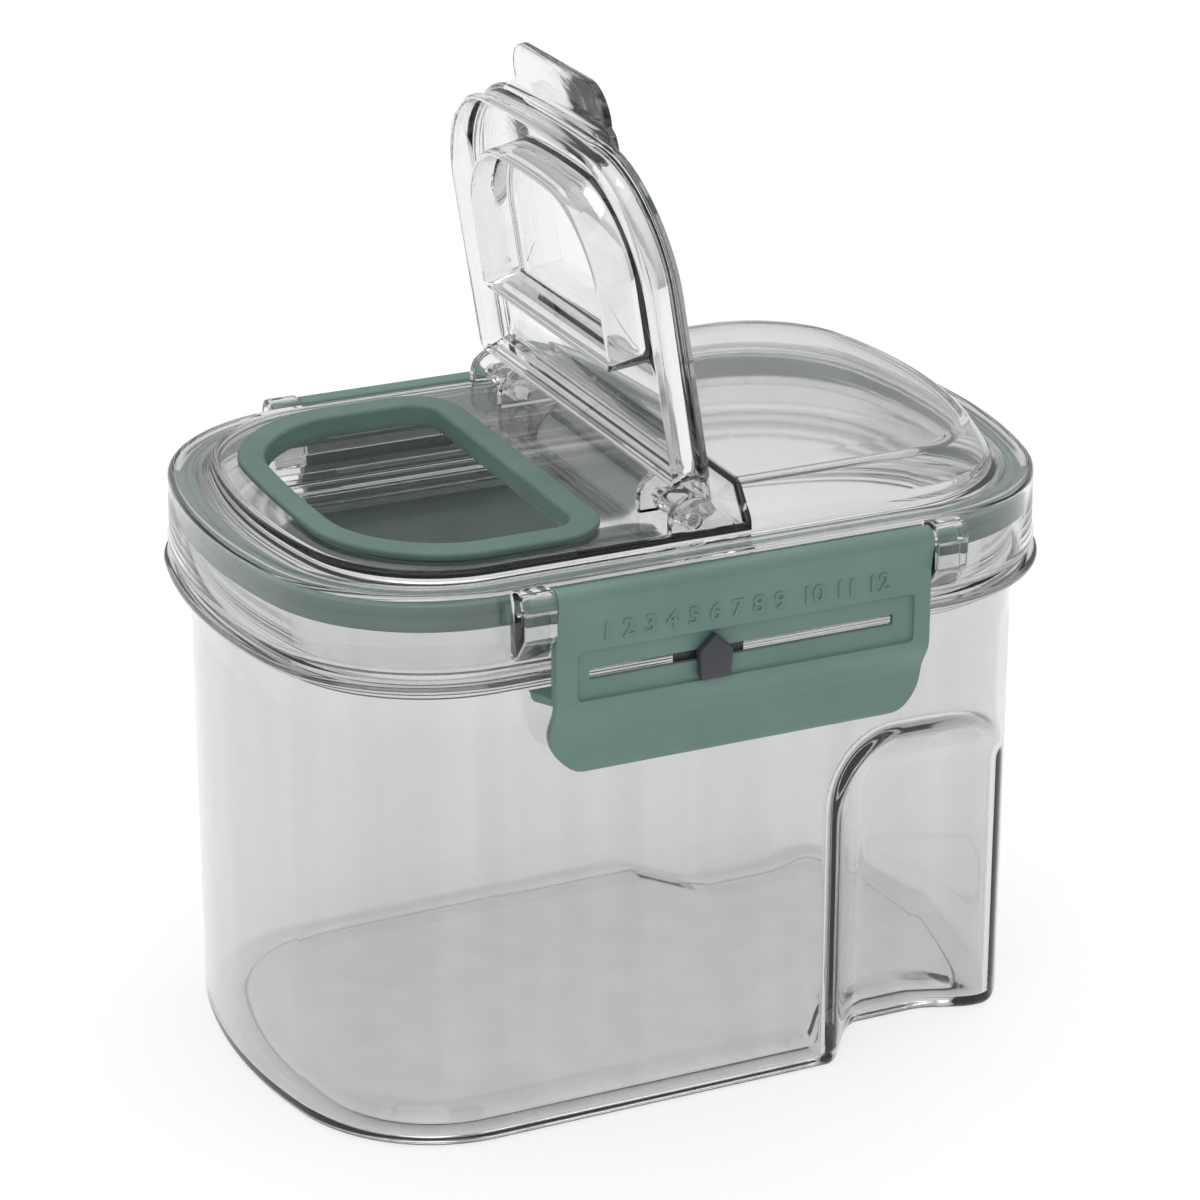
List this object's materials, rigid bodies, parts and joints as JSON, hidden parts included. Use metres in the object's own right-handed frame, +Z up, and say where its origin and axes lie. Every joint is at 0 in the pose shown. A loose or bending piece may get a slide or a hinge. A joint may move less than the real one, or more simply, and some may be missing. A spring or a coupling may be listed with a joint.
{
  "type": "formula dispenser",
  "caption": "Clear clamp-lid tub for baby formula powder with a domed lid, a hinged pouring flap, side latches and sliding month markers.",
  "frame": {"origin": "centre of the base footprint on the surface that the container stands on", "axes": "+X along the length towards the grip end, -Y to the front latch, +Z up"},
  "size_m": [0.1744, 0.1298, 0.2067],
  "materials": {
    "clear_shell": "clear moulded plastic, polished",
    "green_seal": "soft silicone, satin",
    "green_plastic": "fine satin texture",
    "dark_plastic": "satin"
  },
  "bodies": {
    "root": {"container_body": "clear_shell", "lid_shell": "clear_shell", "lid_gasket": "green_seal", "opening_frame": "green_seal"},
    "flap": {"flip_cover": "clear_shell"},
    "front_clamp": {"front_latch": "green_plastic"},
    "back_clamp": {"back_latch": "green_plastic"},
    "front_marker": {"front_marker_knob": "dark_plastic", "front_marker_keeper": "dark_plastic"},
    "back_marker": {"back_marker_knob": "dark_plastic", "back_marker_keeper": "dark_plastic"}
  },
  "joints": [
    {"name": "flap_hinge", "type": "hinge", "parent": "root", "child": "flap", "pos_m": [-0.003, 0, 0.1256], "axis": [0, 1, 0], "range_deg": [-81, 20]},
    {"name": "front_clamp_hinge", "type": "hinge", "parent": "root", "child": "front_clamp", "pos_m": [0.00225, -0.0617, 0.1187], "axis": [-1, 0, 0], "range_deg": [0, 110]},
    {"name": "back_clamp_hinge", "type": "hinge", "parent": "root", "child": "back_clamp", "pos_m": [-0.00225, 0.0617, 0.1187], "axis": [1, 0, 0], "range_deg": [0, 110]},
    {"name": "front_marker_slide", "type": "slide", "parent": "front_clamp", "child": "front_marker", "axis": [1, 0, 0], "range_m": [-0.0232, 0.0368]},
    {"name": "back_marker_slide", "type": "slide", "parent": "back_clamp", "child": "back_marker", "axis": [-1, 0, 0], "range_m": [-0.0232, 0.0368]}
  ]
}
